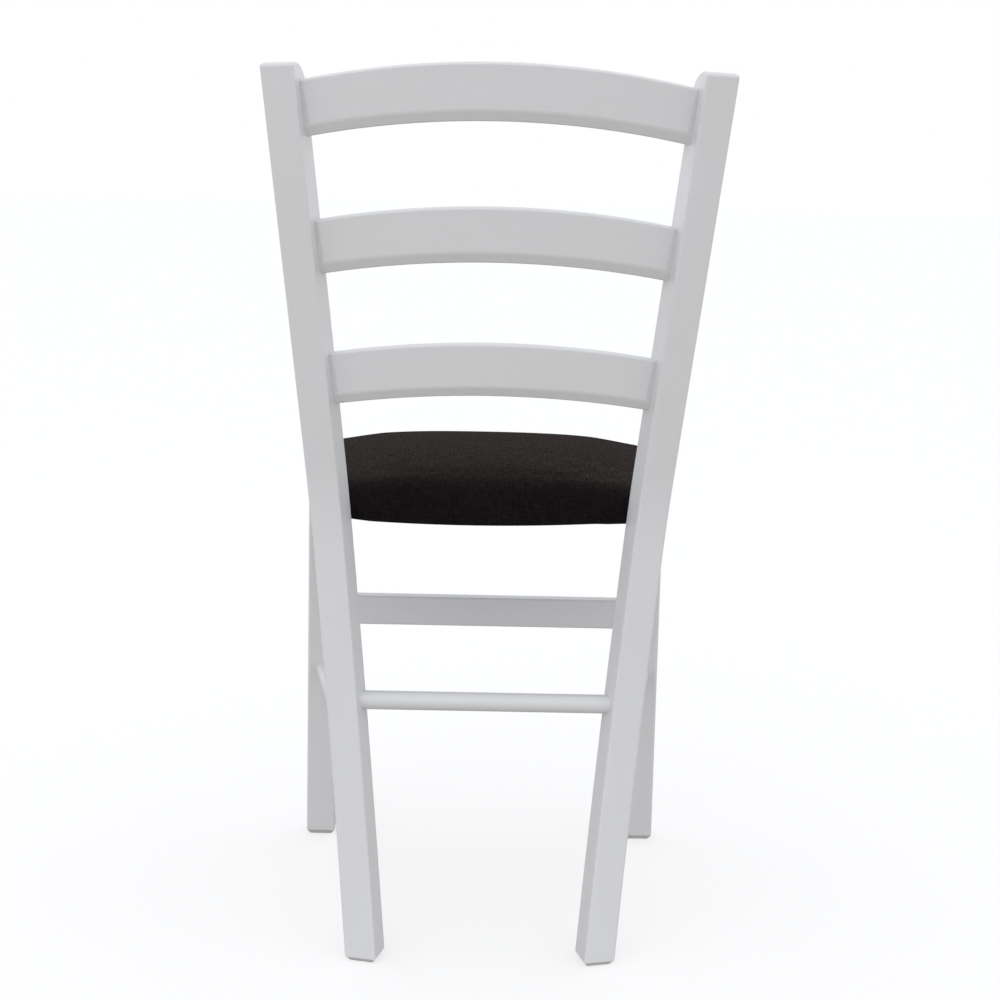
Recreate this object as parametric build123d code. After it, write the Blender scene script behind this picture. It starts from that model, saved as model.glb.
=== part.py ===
from build123d import *
import os
from math import asin, cos, degrees, radians, sin, sqrt, tan

# A dining chair with splayed rear posts, three bowed slats and a stuffed seat.
# Millimetres and degrees. +X is the sitter's left, -Y the front, +Z up.

# Rear posts
post_width = 32.0
post_depth = 34.0
post_toe = 14.0              # turn of the section that makes the inner face look to the rear
post_splay = 5.4             # outward lean, seen from behind
post_top_height = 878.5      # middle of the top
post_top_rounding = 28.0     # over the front of the top
post_arris = 2.5
foot_half_spacing = 115.6
foot_bevel_inset = 4.5       # round the floor face of posts and legs
foot_bevel_height = 5.5
back_rake = 13.7
bend_height = 457.0          # where the upper line and the upright at the seat would cross
bend_radius = 350.0
sweep_radius = 1730.0        # rearward curve of the post below the seat

# Back slats
slat_height = 54.0
slat_thickness = 18.5
slat_setback = 13.5          # from the back of the post to the back of the slat
slat_arch_radius = 700.0
slat_bow_radius = 800.0
slat_pitch = 129.5
top_slat_rise = 0.5          # crest of the top slat above the middle of the post's top
slat_bevel_height = 11.5
slat_bevel_depth = 5.8
slat_end_bevel_length = 5.5  # back of each end, where it meets the post
slat_end_bevel_depth = 1.4
slat_arris = 1.2
slat_top_rounding = 13.0     # over the front of the top
slat_tenon_height = 34.0
slat_tenon_thickness = 10.0
slat_tenon_length = 18.0

# Front legs and the flat stretcher between them
leg_width = 33.0
leg_depth = 33.0
leg_arris = 3.0
leg_outer_half = 205.0
leg_setting = 331.1          # from the upright line of the rear posts forward to the leg's middle
leg_tenon_radius = 10.0
leg_tenon_length = 13.0
stretcher_height = 34.0
stretcher_thickness = 20.0
stretcher_level = 272.3
stretcher_arris = 2.5
stretcher_tenon_height = 25.0
stretcher_tenon_thickness = 10.0
stretcher_tenon_length = 20.0

# Round rungs
rear_rung_diameter = 19.0
rear_rung_level = 254.8
side_rung_diameter = 18.0
side_rung_level = 203.0
rung_tenon_length = 20.0
rung_end_chamfer = 1.0

# Seat
seat_bottom = 435.5
seat_wall_height = 19.0      # from the underside to where the rim begins to round over
seat_rim_rounding = 18.0
seat_rim_bands = 3
seat_crown = 24.0            # rise of the middle above the rim
seat_crown_reach = 115.0     # how far inside the edge the crown levels out
seat_crown_bands = 3
seat_front_overhang = 15.0
seat_side_overhang = 3.5
seat_front_bow = 5.0
seat_side_draw = 2.0         # how far the sides pull in between the corners
seat_bottom_draw = 1.5       # how far they pull in at the foot
seat_waist_height = 12.0     # above which they stand upright
seat_rear_half = 172.0
seat_rear_flat_half = 122.0
seat_corner_radius = 14.0
cover_thickness = 1.2
cover_lip = 21.0
soft_clearance = 0.4
rail_width = 56.0
rail_height = 18.0
board_thickness = 5.0
board_margin = 6.0
dust_cover_thickness = 0.8
dust_cover_inset = 12.0

# Dowels and screws
dowel_diameter = 8.0
dowel_length = 38.0
dowel_spacing = 15.0
screw_diameter = 4.0
screw_length = 18.0
screw_head_diameter = 8.0
screw_head_height = 3.2
end_screw_offset = 85.0      # from the chair's middle, on the front and rear rails
side_screw_setback = 60.0    # from the ends of the side rails

# Fits
joint_clearance = 0.15
socket_clearance = 0.5

splay = radians(post_splay)
rake = radians(back_rake)
toe = radians(post_toe)
bend_along_post = bend_height / cos(splay)
bend_tangent = bend_radius * tan(rake / 2)
upright_top = bend_along_post - bend_tangent
upper_length = (post_top_height / cos(splay) - bend_along_post) / cos(rake)
left_post_frame = Pos(foot_half_spacing, 0, 0) * Rot(0, post_splay, 0)
leg_x = leg_outer_half - leg_width / 2
leg_y = -leg_setting
rail_bottom = seat_bottom + cover_thickness + soft_clearance
rail_inset = seat_bottom_draw + cover_thickness + soft_clearance
seat_front = leg_y - leg_depth / 2 - seat_front_overhang
seat_front_half = leg_outer_half + seat_side_overhang
board_bottom = rail_bottom + rail_height
board_top = board_bottom + board_thickness


def post_x(level):
    return foot_half_spacing + level * tan(splay)


def post_y(level):
    drop = upright_top - level / cos(splay)
    return sweep_radius - sqrt(sweep_radius ** 2 - drop ** 2)


# The rear of the seat lies along the turned front faces of the posts.
rear_gap = post_depth / 2 + soft_clearance + sin(toe) * (seat_rear_flat_half - post_x(seat_bottom))
seat_rear = -rear_gap / cos(toe)


def post_section_plane(distance):
    # Section of the left post, at a distance along its straight upper length.
    origin = (0, sin(rake) * distance, bend_along_post + cos(rake) * distance)
    square_on = Plane(origin, x_dir=(1, 0, 0), z_dir=(0, sin(rake), cos(rake)))
    return Plane(square_on * Rot(0, 0, -post_toe))


def slat_joint(distance):
    # Plane on the inner face of the left post: x to the rear, y up the post, z into the post.
    section = post_section_plane(distance)
    to_slat_middle = post_depth / 2 - slat_setback - slat_thickness / 2
    origin = section.origin - section.x_dir * (post_width / 2) + section.y_dir * to_slat_middle
    return Plane(left_post_frame * Plane(origin, x_dir=section.y_dir, z_dir=section.x_dir).location)


def opposite(plane):
    # The same plane on the sitter's right.
    normal = Vector(-plane.z_dir.X, plane.z_dir.Y, plane.z_dir.Z)
    across = Vector(-plane.x_dir.X, plane.x_dir.Y, plane.x_dir.Z)
    origin = Vector(-plane.origin.X, plane.origin.Y, plane.origin.Z)
    return Plane(origin, x_dir=across, z_dir=normal)


def bevel_foot(shape):
    # Bevel the four sides of the floor face.
    floor = shape.faces().sort_by(Axis.Z)[0]
    for edge in floor.edges().sort_by(SortBy.LENGTH)[-4:]:
        along = edge % 0.5
        outward = along.cross(Vector(0, 0, 1))
        if outward.dot(edge @ 0.5 - floor.center()) < 0:
            outward = -outward
        slope = outward * foot_bevel_height - Vector(0, 0, foot_bevel_inset)
        bevel = Plane(edge @ 0.5 - outward * foot_bevel_inset, x_dir=along, z_dir=slope)
        shape = split(shape, bisect_by=bevel, keep=Keep.BOTTOM)
    return shape


def make_left_post():
    overrun = post_depth
    sweep_angle = degrees(asin((upright_top + overrun) / sweep_radius))
    lower = CenterArc((sweep_radius, upright_top), sweep_radius, 180 + sweep_angle, -sweep_angle)
    bend = CenterArc((bend_radius, upright_top), bend_radius, 180, -back_rake)
    top = (sin(rake) * upper_length, bend_along_post + cos(rake) * upper_length)
    path = Plane.YZ * Wire([lower, bend, Line(bend @ 1, top)])
    section = Plane(path @ 0, x_dir=(1, 0, 0), z_dir=path % 0) * Rot(0, 0, -post_toe)
    post = sweep(section * Rectangle(post_width, post_depth), path=path)
    rearward = Axis((0, 0, 0), (sin(toe), cos(toe), 0))
    front_of_top = post.faces().sort_by(Axis.Z)[-1].edges().sort_by(rearward)[0]
    post = fillet(front_of_top, post_top_rounding)
    nearly_level = 0.4
    upright_edges = post.edges().filter_by(lambda edge: abs((edge % 0.5).Z) > nearly_level)
    top_edges = post.faces().sort_by(Axis.Z)[-1].edges().sort_by(rearward)[1:]
    post = fillet(upright_edges + top_edges, post_arris)
    return bevel_foot(split(left_post_frame * post, bisect_by=Plane.XY, keep=Keep.TOP))


def make_left_leg():
    leg = bevel_foot(extrude(RectangleRounded(leg_width, leg_depth, leg_arris), rail_bottom))
    leg += Pos(0, 0, rail_bottom + leg_tenon_length / 2) * Cylinder(leg_tenon_radius, leg_tenon_length)
    return Pos(leg_x, leg_y, 0) * leg


def slat_seat(crest):
    # Where a slat with its crest at this level meets the left post, and the middle of its bow.
    distance = (crest - bend_height) / cos(rake)
    for _ in range(3):
        level = bend_height + distance * cos(rake)
        half_span = post_x(level) - post_width / 2 * cos(toe)
        rise = slat_arch_radius - sqrt(slat_arch_radius ** 2 - half_span ** 2)
        sagitta = slat_bow_radius - sqrt(slat_bow_radius ** 2 - half_span ** 2)
        rear_of_joint = post_width / 2 * sin(toe) + (post_depth / 2 - slat_setback) * cos(toe)
        bow_middle = rear_of_joint + sagitta
        crest_along = (crest - bend_height + bow_middle * sin(rake)) / cos(rake)
        distance = crest_along - rise - slat_height / 2
    return distance, half_span, crest_along, bow_middle


def slat_tenon(distance, clearance=0.0, end_clearance=0.0):
    root = slat_thickness / 2
    length = slat_tenon_length + end_clearance
    width = slat_tenon_thickness + 2 * clearance
    height = slat_tenon_height + 2 * clearance
    shape = extrude(Rectangle(width, height), length) + extrude(Rectangle(width, height), -root)
    return slat_joint(distance) * shape


def arc_band(half, crest, radius, height):
    # Face between two arcs of one radius, the lower one a height below the upper.
    end = crest - radius + sqrt(radius ** 2 - half ** 2)
    upper = ThreePointArc((-half, end), (0, crest), (half, end))
    lower = ThreePointArc((half, end - height), (0, crest - height), (-half, end - height))
    right = Line(upper @ 1, lower @ 0)
    return make_face([upper, right, lower, Line(lower @ 1, upper @ 0)])


def long_edges(shape, length):
    return shape.edges().filter_by(lambda edge: edge.length > length)


def end_bevel(joint):
    # Plane of the bevel behind a slat's shoulder.
    origin = joint.origin + joint.x_dir * (slat_thickness / 2 - slat_end_bevel_depth)
    outward = joint.x_dir * slat_end_bevel_length + joint.z_dir * slat_end_bevel_depth
    return Plane(origin, x_dir=joint.y_dir, z_dir=outward)


def make_slat(crest):
    distance, half_span, crest_along, bow_middle = slat_seat(crest)
    half = half_span + slat_thickness
    up_back = Vector(0, sin(rake), cos(rake))
    origin = Vector(0, 0, bend_height)
    face_on = Plane(origin, x_dir=(-1, 0, 0), z_dir=(0, cos(rake), -sin(rake)))
    from_above = Plane(origin + up_back * (crest_along - slat_height), x_dir=(1, 0, 0), z_dir=up_back)
    arch = face_on * arc_band(half, crest_along, slat_arch_radius, slat_height)
    bow = from_above * arc_band(half, bow_middle, slat_bow_radius, slat_thickness)
    slat = extrude(arch, half, both=True) & extrude(bow, half, both=True)
    upward_forward = Axis(origin, up_back - face_on.z_dir)
    rear_face = slat.faces().sort_by(Axis(origin, face_on.z_dir))[-1]
    lower_rear = long_edges(slat, half).sort_by(upward_forward)[0]
    slat = chamfer(lower_rear, slat_bevel_height, slat_bevel_depth, reference=rear_face)
    slat = chamfer(long_edges(slat, half).sort_by(upward_forward)[:-1], slat_arris)
    slat = fillet(long_edges(slat, half).sort_by(upward_forward)[-1], slat_top_rounding)
    joint = slat_joint(distance)
    for plane in (joint, opposite(joint)):
        slat = split(slat, bisect_by=plane, keep=Keep.BOTTOM)
        slat = split(slat, bisect_by=end_bevel(plane), keep=Keep.BOTTOM)
    tenon = slat_tenon(distance)
    return slat + tenon + mirror(tenon, about=Plane.YZ)


def make_stretcher():
    length = 2 * (leg_x - leg_width / 2)
    section = RectangleRounded(stretcher_thickness, stretcher_height, stretcher_arris)
    bar = extrude(section, length / 2, both=True)
    return Pos(0, leg_y, stretcher_level) * Rot(0, 90, 0) * Rot(0, 0, 90) * bar + stretcher_tenons()


def stretcher_tenons(clearance=0.0, end_clearance=0.0):
    half_length = leg_x - leg_width / 2 + stretcher_tenon_length + end_clearance
    size = (stretcher_tenon_thickness + 2 * clearance, stretcher_tenon_height + 2 * clearance)
    return Pos(0, leg_y, stretcher_level) * Box(2 * half_length, size[0], size[1])


def rod(start, end, radius, chamfer_length=0.0):
    start, end = Vector(start), Vector(end)
    axis = end - start
    shape = extrude(Circle(radius), axis.length)
    if chamfer_length:
        shape = chamfer(shape.edges().filter_by(GeomType.CIRCLE), chamfer_length)
    return Plane(start, z_dir=axis) * shape


def rear_rung_ends():
    reach = post_x(rear_rung_level) - post_width / 2 / cos(toe) + rung_tenon_length
    middle = Vector(0, post_y(rear_rung_level), rear_rung_level)
    return middle - Vector(reach, 0, 0), middle + Vector(reach, 0, 0)


def side_rung_ends():
    # From inside the left front leg to inside the left rear post.
    leg = Vector(leg_x, leg_y, side_rung_level)
    post = Vector(post_x(side_rung_level), post_y(side_rung_level), side_rung_level)
    along = (post - leg).normalized()
    across_post = along.dot(Vector(sin(toe), cos(toe), 0))
    start = leg + along * (leg_depth / 2 / along.Y - rung_tenon_length)
    end = post + along * (rung_tenon_length - post_depth / 2 / across_post)
    return start, end


def bore(ends, diameter):
    # Cutter for a glued socket: as thick as the rod and a little longer.
    start, end = ends
    spare = (end - start).normalized() * socket_clearance
    return rod(start - spare, end + spare, diameter / 2)


def seat_outline(inset):
    # Plan of the seat, drawn in by an inset all round.
    flat = seat_rear_flat_half * (1 - inset / seat_rear_half)
    rear = seat_rear - inset
    rear_x = seat_rear_half - inset
    rear_corner = Vector(rear_x, rear - (rear_x - flat) * tan(toe))
    front_corner = Vector(seat_front_half - inset, seat_front + seat_front_bow + inset)
    side = (rear_corner + front_corner) * 0.5 - Vector(seat_side_draw, 0)
    back_edge = Line((-flat, rear), (flat, rear))
    left_slope = Line((flat, rear), rear_corner)
    left_side = ThreePointArc(rear_corner, side, front_corner)
    front_edge = ThreePointArc(front_corner, (0, seat_front + inset), (-front_corner.X, front_corner.Y))
    right = [mirror(edge, about=Plane.YZ) for edge in (left_side, left_slope)]
    face = make_face([back_edge, left_slope, left_side, front_edge, *right])
    corners = face.vertices().filter_by(lambda corner: abs(corner.X) > (flat + rear_x) / 2)
    return fillet(corners, seat_corner_radius)


def padded_levels(skin):
    # Insets and heights of the rounded rim and the crown, a skin's thickness inside the finished seat.
    wall_top = seat_bottom + seat_wall_height - skin
    levels = [(skin, wall_top)]
    for band in range(1, seat_rim_bands + 1):
        turn = radians(90 * band / seat_rim_bands)
        levels.append((skin + seat_rim_rounding * (1 - cos(turn)), wall_top + seat_rim_rounding * sin(turn)))
    rim_inset, rim_top = levels[-1]
    for band in range(1, seat_crown_bands + 1):
        share = band / seat_crown_bands
        inset = rim_inset + share * (seat_crown_reach - seat_rim_rounding)
        levels.append((inset, rim_top + seat_crown * (1 - (1 - share) ** 2)))
    return levels


def seat_form(skin, bottom):
    # The stuffed seat: sides drawn in at the foot, a rounded rim and a crowned top.
    levels = [(skin + seat_bottom_draw, bottom), (skin, seat_bottom + seat_waist_height)]
    levels += padded_levels(skin)
    return loft([Pos(0, 0, level) * seat_outline(inset) for inset, level in levels], ruled=True)


def leg_cutout():
    # Openings for the front legs in the turned-under lip and the dust cover.
    room = 2 * (soft_clearance + joint_clearance)
    height = 2 * (cover_thickness + soft_clearance + dust_cover_thickness)
    hole = Box(leg_width + room, leg_depth + room, height)
    return Pos(leg_x, leg_y, seat_bottom) * hole + Pos(-leg_x, leg_y, seat_bottom) * hole


def make_cover():
    cover = seat_form(0, seat_bottom) - seat_form(cover_thickness, seat_bottom + cover_thickness)
    mouth = Pos(0, 0, seat_bottom) * seat_outline(seat_bottom_draw + cover_lip)
    cover -= extrude(mouth, 2 * cover_thickness, both=True)
    cover -= leg_cutout()
    for start, end in post_dowel_ends():
        hole = rod(start, end, dowel_diameter / 2 + soft_clearance)
        cover = cover - hole - mirror(hole, about=Plane.YZ)
    return cover


def make_foam():
    form = seat_form(cover_thickness + soft_clearance, rail_bottom)
    return split(form, bisect_by=Plane.XY.offset(board_top + soft_clearance), keep=Keep.TOP)


def make_dust_cover():
    sheet = extrude(seat_outline(dust_cover_inset), -dust_cover_thickness)
    return Pos(0, 0, seat_bottom - soft_clearance) * sheet - leg_cutout()


def rail_joints():
    # Front and rear planes where the side rails meet the other two.
    inset = rail_inset + rail_width
    flat = seat_rear_flat_half * (1 - inset / seat_rear_half)
    front = seat_front + seat_front_bow + inset
    rear = seat_rear - inset - (seat_rear_half - inset - flat) * tan(toe)
    return front, rear


def side_rail_middle(y):
    rear_y = seat_rear - (seat_rear_half - seat_rear_flat_half) * tan(toe)
    share = (y - rear_y) / (seat_front + seat_front_bow - rear_y)
    outer = seat_rear_half + share * (seat_front_half - seat_rear_half)
    return outer - rail_inset - rail_width / 2


def rail_dowel_ends():
    half = Vector(0, dowel_length / 2, 0)
    level = rail_bottom + rail_height / 2
    ends = []
    for y in rail_joints():
        for offset in (-dowel_spacing / 2, dowel_spacing / 2):
            middle = Vector(side_rail_middle(y) + offset, y, level)
            ends.append((middle - half, middle + half))
    return ends


def post_dowel_ends():
    level = rail_bottom + rail_height / 2
    into_post = Vector(sin(toe), cos(toe), 0)
    along_face = Vector(cos(toe), -sin(toe), 0)
    face = Vector(post_x(level), 0, level) - into_post * (post_depth / 2 + soft_clearance + rail_inset / 2)
    half = into_post * (dowel_length / 2)
    ends = []
    for offset in (-dowel_spacing / 2, dowel_spacing / 2):
        middle = face + along_face * offset
        ends.append((middle - half, middle + half))
    return ends


def screw_places():
    front = seat_front + rail_inset + rail_width / 2
    rear = seat_rear - rail_inset - rail_width / 2
    front_joint, rear_joint = rail_joints()
    places = [(x, y) for y in (front, rear) for x in (-end_screw_offset, end_screw_offset)]
    for y in (front_joint + side_screw_setback, rear_joint - side_screw_setback):
        places += [(side * side_rail_middle(y), y) for side in (-1, 1)]
    return places


def screw():
    # Countersunk, with its head's top at the origin.
    radius = screw_diameter / 2
    head = Pos(0, 0, -screw_head_height / 2) * Cone(radius, screw_head_diameter / 2, screw_head_height)
    return head + extrude(Circle(radius), -screw_length)


def both_sides(shapes):
    return shapes + [mirror(shape, about=Plane.YZ) for shape in shapes]


def make_rails():
    ring = extrude(seat_outline(rail_inset), rail_height)
    ring -= extrude(seat_outline(rail_inset + rail_width), rail_height)
    ring = Pos(0, 0, rail_bottom) * ring
    for ends in rail_dowel_ends() + post_dowel_ends():
        hole = bore(ends, dowel_diameter)
        ring = ring - hole - mirror(hole, about=Plane.YZ)
    for x, y in screw_places():
        ring -= Pos(x, y, board_top) * screw()
    front_y, rear_y = rail_joints()
    front_plane = Plane((0, front_y, 0), z_dir=(0, 1, 0))
    rear_plane = Plane((0, rear_y, 0), z_dir=(0, 1, 0))
    front = split(ring, bisect_by=front_plane, keep=Keep.BOTTOM)
    rear = split(ring, bisect_by=rear_plane, keep=Keep.TOP)
    sides = split(split(ring, bisect_by=front_plane, keep=Keep.TOP), bisect_by=rear_plane, keep=Keep.BOTTOM)
    for x in (-leg_x, leg_x):
        end = rail_bottom + leg_tenon_length + socket_clearance
        front -= rod((x, leg_y, rail_bottom), (x, leg_y, end), leg_tenon_radius + joint_clearance)
    right, left = sides.solids().sort_by(Axis.X)
    return front, rear, left, right


def make_board():
    board = Pos(0, 0, board_bottom) * extrude(seat_outline(rail_inset + board_margin), board_thickness)
    for x, y in screw_places():
        board -= Pos(x, y, board_top) * screw()
    return board


def bored_post():
    post = make_left_post()
    for crest in slat_crests.values():
        post -= slat_tenon(slat_seat(crest)[0], joint_clearance, socket_clearance)
    post -= bore(rear_rung_ends(), rear_rung_diameter)
    post -= bore(side_rung_ends(), side_rung_diameter)
    for ends in post_dowel_ends():
        post -= bore(ends, dowel_diameter)
    return post


def bored_leg():
    leg = make_left_leg()
    leg -= stretcher_tenons(joint_clearance, socket_clearance)
    return leg - bore(side_rung_ends(), side_rung_diameter)


top_slat_crest = post_top_height + top_slat_rise
slat_crests = {
    "top_slat": top_slat_crest,
    "middle_slat": top_slat_crest - slat_pitch,
    "lower_slat": top_slat_crest - 2 * slat_pitch,
}
pieces = {name: make_slat(crest) for name, crest in slat_crests.items()}
pieces["rear_post_left"] = bored_post()
pieces["front_leg_left"] = bored_leg()
pieces["side_rung_left"] = rod(*side_rung_ends(), side_rung_diameter / 2, rung_end_chamfer)
for name in ("rear_post", "front_leg", "side_rung"):
    pieces[name + "_right"] = mirror(pieces[name + "_left"], about=Plane.YZ)
pieces["rear_rung"] = rod(*rear_rung_ends(), rear_rung_diameter / 2, rung_end_chamfer)
pieces["front_stretcher"] = make_stretcher()
rails = make_rails()
for name, rail in zip(("front", "rear", "left", "right"), rails):
    pieces["seat_rail_" + name] = rail
rail_dowels = [rod(start, end, dowel_diameter / 2) for start, end in rail_dowel_ends()]
post_dowels = [rod(start, end, dowel_diameter / 2) for start, end in post_dowel_ends()]
pieces["seat_rail_dowels"] = Compound(both_sides(rail_dowels))
pieces["post_dowels"] = Compound(both_sides(post_dowels))
pieces["seat_board"] = make_board()
pieces["seat_board_screws"] = Compound([Pos(x, y, board_top) * screw() for x, y in screw_places()])
pieces["seat_foam"] = make_foam()
pieces["seat_cover"] = make_cover()
pieces["dust_cover"] = make_dust_cover()

# The origin is on the floor, under the middle of the chair's box.
boxes = [piece.bounding_box() for piece in pieces.values()]
middle_y = (min(box.min.Y for box in boxes) + max(box.max.Y for box in boxes)) / 2
os.makedirs("parts", exist_ok=True)
for name, piece in pieces.items():
    solids = [Pos(0, -middle_y, 0) * solid for solid in piece.solids()]
    export_step(Compound(solids), f"parts/{name}.step")
print(f"{len(pieces)} pieces, moved by {-middle_y:.3f}")
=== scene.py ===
import bpy
import bmesh
from math import cos, pi, radians, sin, sqrt, tan
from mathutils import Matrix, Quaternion, Vector, noise


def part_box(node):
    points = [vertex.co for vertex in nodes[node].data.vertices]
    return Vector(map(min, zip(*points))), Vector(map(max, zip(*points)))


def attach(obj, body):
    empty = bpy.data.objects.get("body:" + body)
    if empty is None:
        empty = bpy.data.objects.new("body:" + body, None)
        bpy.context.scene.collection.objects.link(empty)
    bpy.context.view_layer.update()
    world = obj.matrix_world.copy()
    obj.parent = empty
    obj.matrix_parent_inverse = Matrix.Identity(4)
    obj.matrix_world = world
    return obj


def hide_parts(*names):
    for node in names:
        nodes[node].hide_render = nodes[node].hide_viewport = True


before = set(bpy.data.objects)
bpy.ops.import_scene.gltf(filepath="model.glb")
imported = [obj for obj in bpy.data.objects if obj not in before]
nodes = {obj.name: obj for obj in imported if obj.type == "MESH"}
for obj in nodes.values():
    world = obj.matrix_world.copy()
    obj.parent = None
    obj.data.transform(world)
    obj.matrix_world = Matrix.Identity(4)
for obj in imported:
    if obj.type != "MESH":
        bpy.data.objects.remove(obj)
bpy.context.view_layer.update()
scene = bpy.context.scene
print("frame:", len(nodes), "nodes")


# Shader maths: a socket that takes part in Python expressions

class Sock:
    def __init__(self, tree, socket):
        self.tree = tree
        self.socket = socket

    def maths(self, operation, first, second):
        return self.tree.add("ShaderNodeMath", {"operation": operation}, {0: first, 1: second})

    def __add__(self, other):
        return self.maths("ADD", self, other)

    def __radd__(self, other):
        return self.maths("ADD", other, self)

    def __sub__(self, other):
        return self.maths("SUBTRACT", self, other)

    def __rsub__(self, other):
        return self.maths("SUBTRACT", other, self)

    def __mul__(self, other):
        return self.maths("MULTIPLY", self, other)

    def __rmul__(self, other):
        return self.maths("MULTIPLY", other, self)

    def __lt__(self, other):
        return self.maths("LESS_THAN", self, other)

    def __gt__(self, other):
        return self.maths("GREATER_THAN", self, other)


class ShaderTree:
    def __init__(self, name):
        self.material = bpy.data.materials.new(name)
        self.material.use_nodes = True
        self.tree = self.material.node_tree
        self.tree.nodes.clear()
        self.output = self.tree.nodes.new("ShaderNodeOutputMaterial")

    def add(self, kind, settings=None, sockets=None, output=0):
        node = self.tree.nodes.new(kind)
        for key, value in (settings or {}).items():
            if key == "stops":
                self.setStops(node.color_ramp, value)
            else:
                setattr(node, key, value)
        for key, value in (sockets or {}).items():
            self.feed(node.inputs[key], value)
        return Sock(self, node.outputs[output])

    def feed(self, target, value):
        if isinstance(value, Sock):
            self.tree.links.new(value.socket, target)
        else:
            target.default_value = value

    def setStops(self, ramp, stops):
        while len(ramp.elements) < len(stops):
            ramp.elements.new(1)
        for element, (place, colour) in zip(ramp.elements, stops):
            element.position = place
            element.color = rgb(colour)

    def place(self, scale=(1, 1, 1)):
        spot = self.add("ShaderNodeTexCoord", output="Object")
        return self.add("ShaderNodeMapping", {}, {"Vector": spot, "Scale": scale})

    def noise(self, spot, scale, detail, roughness=0.5):
        sockets = {"Vector": spot, "Scale": scale, "Detail": detail, "Roughness": roughness}
        return self.add("ShaderNodeTexNoise", {}, sockets)

    def ramp(self, value, black, white):
        stops = [(black, (0, 0, 0)), (white, (1, 1, 1))]
        return self.add("ShaderNodeValToRGB", {"stops": stops}, {0: value})

    def clamp(self, value):
        return self.add("ShaderNodeClamp", {}, {0: value})

    def blend(self, share, first, second):
        settings = {"data_type": "RGBA"}
        return self.add("ShaderNodeMix", settings, {0: share, 6: first, 7: second}, output=2)

    def bump(self, height, depth, strength, under=None):
        sockets = {"Height": height, "Distance": depth, "Strength": strength}
        if under is not None:
            sockets["Normal"] = under
        return self.add("ShaderNodeBump", {}, sockets)

    def principled(self, sockets):
        return self.add("ShaderNodeBsdfPrincipled", {}, sockets)

    def mixShaders(self, share, first, second):
        return self.add("ShaderNodeMixShader", {}, {0: share, 1: first, 2: second})

    def show(self, shader):
        self.tree.links.new(shader.socket, self.output.inputs["Surface"])
        return self.material


def rgb(colour):
    return (*colour, 1)


def drawnOut(along, stretch):
    # scales that make a pattern longer along one axis
    return [1 / stretch if axis == along else 1.0 for axis in range(3)]


# White lacquer on beech

lacquer = {
    "film": (0.728, 0.733, 0.752),
    "warmFilm": (0.702, 0.700, 0.700),   # a little warmer where the film is thin
    "cloudPerMetre": 9,
    "bandsPerMetre": 60,
    "thinShares": (0.6, 0.4),            # how much clouds and bands thin the film
    "thinStart": 0.38,
    "thinGain": 1.4,
    "grainPerMetre": 520,
    "grainStretch": 28,                  # how much longer than wide the pores are
    "poreRange": (0.32, 0.5),
    "poreDepth": 0.00006,
    "poreStrength": 0.35,
    "peelPerMetre": 900,                 # fine unevenness of the sprayed film
    "peelDepth": 0.00003,
    "peelStrength": 0.5,
    "roughness": 0.42,
    "roughSpread": (0.10, 0.12),         # by the peel and by the clouds
    "coat": 0.12,
    "coatRoughness": 0.25,
    "ior": 1.48,
}


def makeLacquer(name, along):
    tree = ShaderTree(name)
    drawn = tree.place(drawnOut(along, lacquer["grainStretch"]))
    grain = tree.noise(drawn, lacquer["grainPerMetre"], 4, 0.6)
    pores = tree.ramp(grain, *lacquer["poreRange"])
    bands = tree.noise(drawn, lacquer["bandsPerMetre"], 2)
    cloud = tree.noise(tree.place(), lacquer["cloudPerMetre"], 3)
    peel = tree.noise(tree.place(), lacquer["peelPerMetre"], 2)
    byCloud, byBands = lacquer["thinShares"]
    thin = (cloud * byCloud + bands * byBands - lacquer["thinStart"]) * lacquer["thinGain"]
    colour = tree.blend(thin, rgb(lacquer["film"]), rgb(lacquer["warmFilm"]))
    byPeel, byCloud = lacquer["roughSpread"]
    roughness = lacquer["roughness"] + (peel - 0.5) * byPeel + (cloud - 0.5) * byCloud
    poreBump = tree.bump(pores, lacquer["poreDepth"], lacquer["poreStrength"])
    return tree.show(tree.principled({
        "Base Color": colour,
        "Roughness": roughness,
        "Normal": tree.bump(peel, lacquer["peelDepth"], lacquer["peelStrength"], poreBump),
        "Coat Weight": lacquer["coat"],
        "Coat Roughness": lacquer["coatRoughness"],
        "IOR": lacquer["ior"],
    }))


# Unfinished beech of the seat frame

rawWood = {
    "light": (0.66, 0.47, 0.30),
    "dark": (0.50, 0.33, 0.19),
    "ringsPerMetre": 85,
    "ringRange": (0.3, 0.68),
    "stretch": 22,
    "flecksPerMetre": 900,
    "fleckLimit": 0.62,
    "fleckShare": 0.35,
    "fleckShade": 0.6,
    "depth": 0.00012,
    "strength": 0.6,
    "roughness": 0.62,
    "roughSpread": 0.2,
}


def makeRawWood(name, along):
    tree = ShaderTree(name)
    spot = tree.place(drawnOut(along, rawWood["stretch"]))
    rings = tree.noise(spot, rawWood["ringsPerMetre"], 5, 0.62)
    flecks = tree.noise(spot, rawWood["flecksPerMetre"], 2)
    share = tree.ramp(rings, *rawWood["ringRange"])
    colour = tree.blend(share, rgb(rawWood["light"]), rgb(rawWood["dark"]))
    fleckShare = (flecks > rawWood["fleckLimit"]) * rawWood["fleckShare"]
    fleckColour = [part * rawWood["fleckShade"] for part in rawWood["dark"]]
    return tree.show(tree.principled({
        "Base Color": tree.blend(fleckShare, colour, rgb(fleckColour)),
        "Roughness": rawWood["roughness"] + (rings - 0.5) * rawWood["roughSpread"],
        "Normal": tree.bump(rings * 0.5 + flecks * 0.5, rawWood["depth"], rawWood["strength"]),
    }))


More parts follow.
